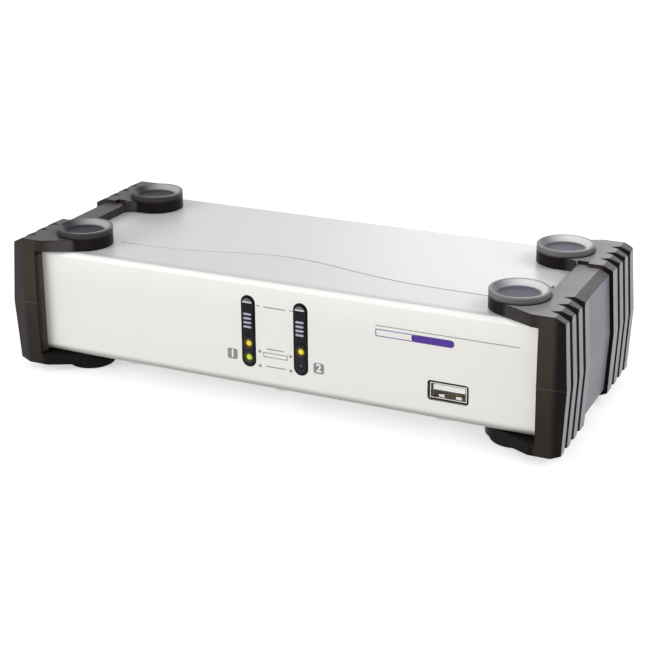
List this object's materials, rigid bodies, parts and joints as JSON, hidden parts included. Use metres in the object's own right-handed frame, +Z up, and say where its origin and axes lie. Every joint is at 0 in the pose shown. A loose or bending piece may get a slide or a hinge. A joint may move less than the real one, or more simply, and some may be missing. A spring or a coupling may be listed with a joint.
{
  "type": "desktop kvm switch",
  "caption": "Low silver metal switch box between two smoke-plastic end caps with ribs, feet and stacking cups; push buttons with lamps in front, computer sockets behind.",
  "frame": {"origin": "on the standing plane, under the middle of the whole box", "axes": "+X along the width to the right as seen from the front, +Y to the rear sockets, +Z up"},
  "size_m": [0.2096, 0.0862, 0.053],
  "materials": {
    "silver_paint": "fine silver paint, satin",
    "inner_paint": "grey paint, satin",
    "rear_paint": "fine silver paint, satin",
    "smoke_cap": "smoke-tinted moulded plastic, satin gloss",
    "foot_rubber": "matt black rubber",
    "screw_steel": "zinc plated",
    "socket_steel": "nickel plated stamped steel",
    "socket_tongue": "white moulded plastic",
    "video_blue": "blue moulded plastic",
    "sound_green": "green moulded plastic",
    "sound_pink": "pink moulded plastic",
    "violet_plastic": "violet moulded plastic",
    "mint_plastic": "green moulded plastic",
    "amber_lamp": "lit amber lamp",
    "green_lamp": "green lamp",
    "lamp_window": "dark smoke-tinted window",
    "button_black": "fine textured black plastic",
    "holder_black": "black moulded plastic",
    "black_plastic": "black moulded plastic",
    "plunger_grey": "grey moulded plastic",
    "circuit_board": "green solder mask",
    "brass_posts": "turned brass",
    "gold_contacts": "gold plated contacts"
  },
  "bodies": {
    "case": {"top_cover": "silver_paint", "chassis": "inner_paint", "rear_panel": "rear_paint", "end_cap_left": "smoke_cap", "end_cap_right": "smoke_cap", "foot_front_left": "foot_rubber", "foot_front_right": "foot_rubber", "foot_rear_left": "foot_rubber", "foot_rear_right": "foot_rubber", "cap_screws": "screw_steel", "cover_screws": "screw_steel", "main_board": "circuit_board", "board_standoffs": "brass_posts", "board_screws": "screw_steel", "board_chips": "black_plastic", "front_board": "circuit_board", "board_header": "black_plastic", "button_holder": "holder_black", "key_switch_1": "black_plastic", "key_switch_2": "black_plastic", "lamp_window_1": "lamp_window", "lamp_window_2": "lamp_window", "online_lamp_1": "amber_lamp", "online_lamp_2": "amber_lamp", "link_lamp_1": "green_lamp", "link_lamp_2": "green_lamp", "front_socket_shell": "socket_steel", "front_socket_tongue": "socket_tongue", "front_socket_contacts": "gold_contacts", "console_video_shield": "socket_steel", "console_video_housing": "black_plastic", "second_video_shield": "socket_steel", "second_video_housing": "black_plastic", "first_video_shield": "socket_steel", "first_video_housing": "black_plastic", "video_faces": "video_blue", "jack_screws": "screw_steel", "console_speaker_jack": "sound_green", "console_mic_jack": "sound_pink", "second_speaker_jack": "sound_green", "second_mic_jack": "sound_pink", "first_speaker_jack": "sound_green", "first_mic_jack": "sound_pink", "keyboard_socket": "violet_plastic", "keyboard_core": "violet_plastic", "mouse_socket": "mint_plastic", "mouse_core": "mint_plastic", "second_port_shell": "socket_steel", "second_port_tongue": "socket_tongue", "first_port_shell": "socket_steel", "first_port_tongue": "socket_tongue", "rear_socket_shell": "socket_steel", "rear_socket_tongue": "socket_tongue", "power_jack": "black_plastic", "power_pin": "socket_steel"},
    "button_1": {"port_button_1": "button_black", "key_plunger_1": "plunger_grey"},
    "button_2": {"port_button_2": "button_black", "key_plunger_2": "plunger_grey"}
  },
  "joints": [
    {"name": "button_1_press", "type": "slide", "parent": "case", "child": "button_1", "axis": [0, 1, 0], "range_m": [0, 0.0008], "stiffness_N_per_m": 1000},
    {"name": "button_2_press", "type": "slide", "parent": "case", "child": "button_2", "axis": [0, 1, 0], "range_m": [0, 0.0008], "stiffness_N_per_m": 1000}
  ]
}
